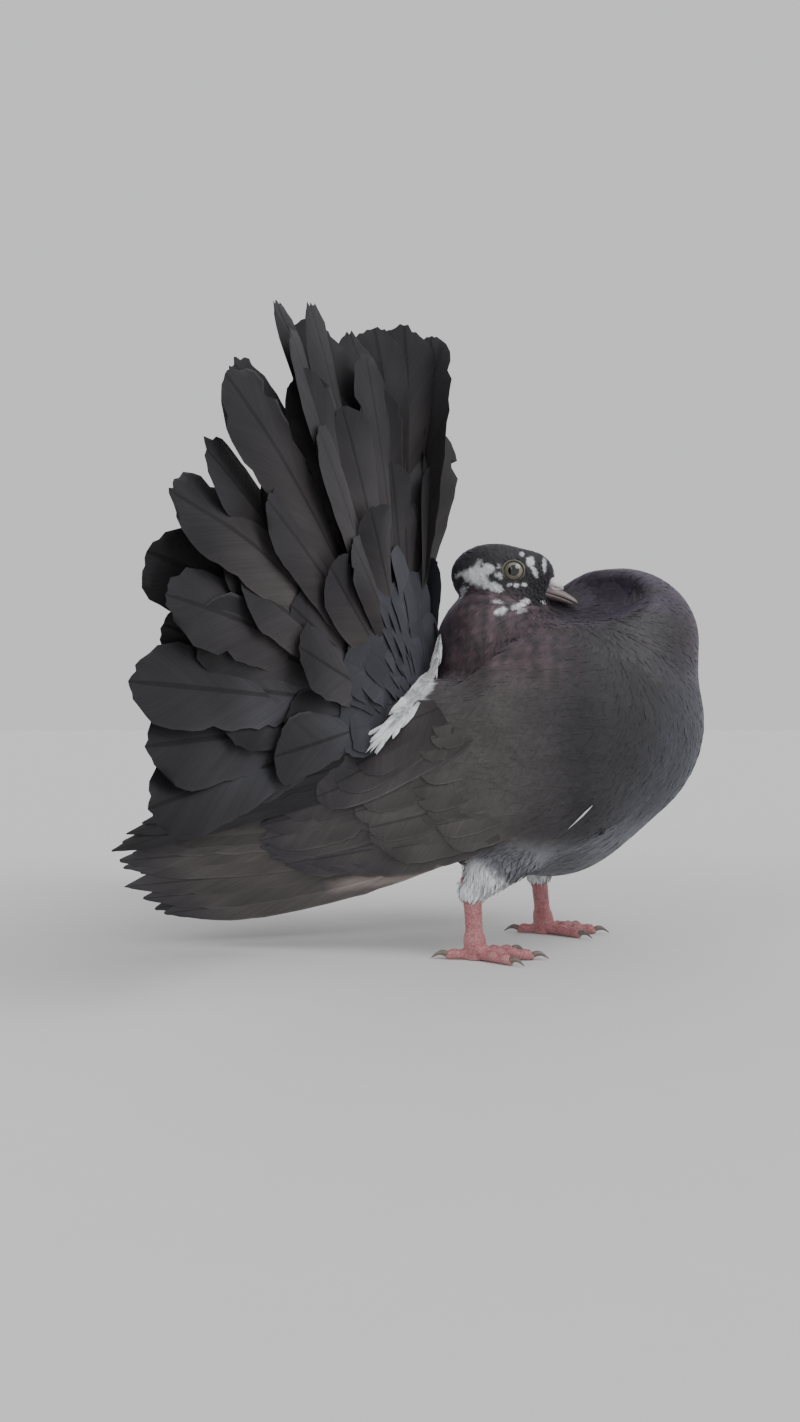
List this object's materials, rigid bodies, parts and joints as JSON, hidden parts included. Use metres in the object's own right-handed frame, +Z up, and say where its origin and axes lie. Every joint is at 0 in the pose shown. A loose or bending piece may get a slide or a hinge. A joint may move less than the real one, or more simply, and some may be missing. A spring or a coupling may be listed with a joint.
{
  "type": "fantail pigeon display model",
  "caption": "Life-size still model of a black fantail pigeon with white head markings, standing with its head drawn back, breast puffed out, wings drooped and tail fanned upright.",
  "frame": {"origin": "on the floor, under the middle of the bird's box", "axes": "+X the way the bird faces, +Y its left side, +Z up"},
  "size_m": [0.2342, 0.3104, 0.2565],
  "materials": {
    "plumage": "sooty black feathers with a faint blue and violet sheen",
    "neck_plumage": "black feathers with a bronze and purple sheen",
    "leg_skin": "scaly red skin",
    "bill": "smooth dusky pink horn",
    "cere": "chalky, finely wrinkled skin",
    "eye": "wet, with a dark pupil in a pale iris",
    "claw": "dark polished horn"
  },
  "bodies": {
    "root": {"torso": "plumage", "neck": "neck_plumage", "tail_base": "plumage", "head": "plumage", "eye_left": "eye", "eye_right": "eye", "bill_upper": "bill", "bill_lower": "bill", "cere": "cere", "tail_fan_left": "plumage", "tail_fan_middle": "plumage", "tail_fan_right": "plumage", "wing_left": "plumage", "wing_right": "plumage", "thigh_left": "plumage", "thigh_right": "plumage", "shank_left": "leg_skin", "shank_right": "leg_skin", "foot_left": "leg_skin", "foot_right": "leg_skin", "claw_left_middle": "claw", "claw_left_inner": "claw", "claw_left_outer": "claw", "claw_left_hind": "claw", "claw_right_middle": "claw", "claw_right_inner": "claw", "claw_right_outer": "claw", "claw_right_hind": "claw"}
  },
  "joints": []
}
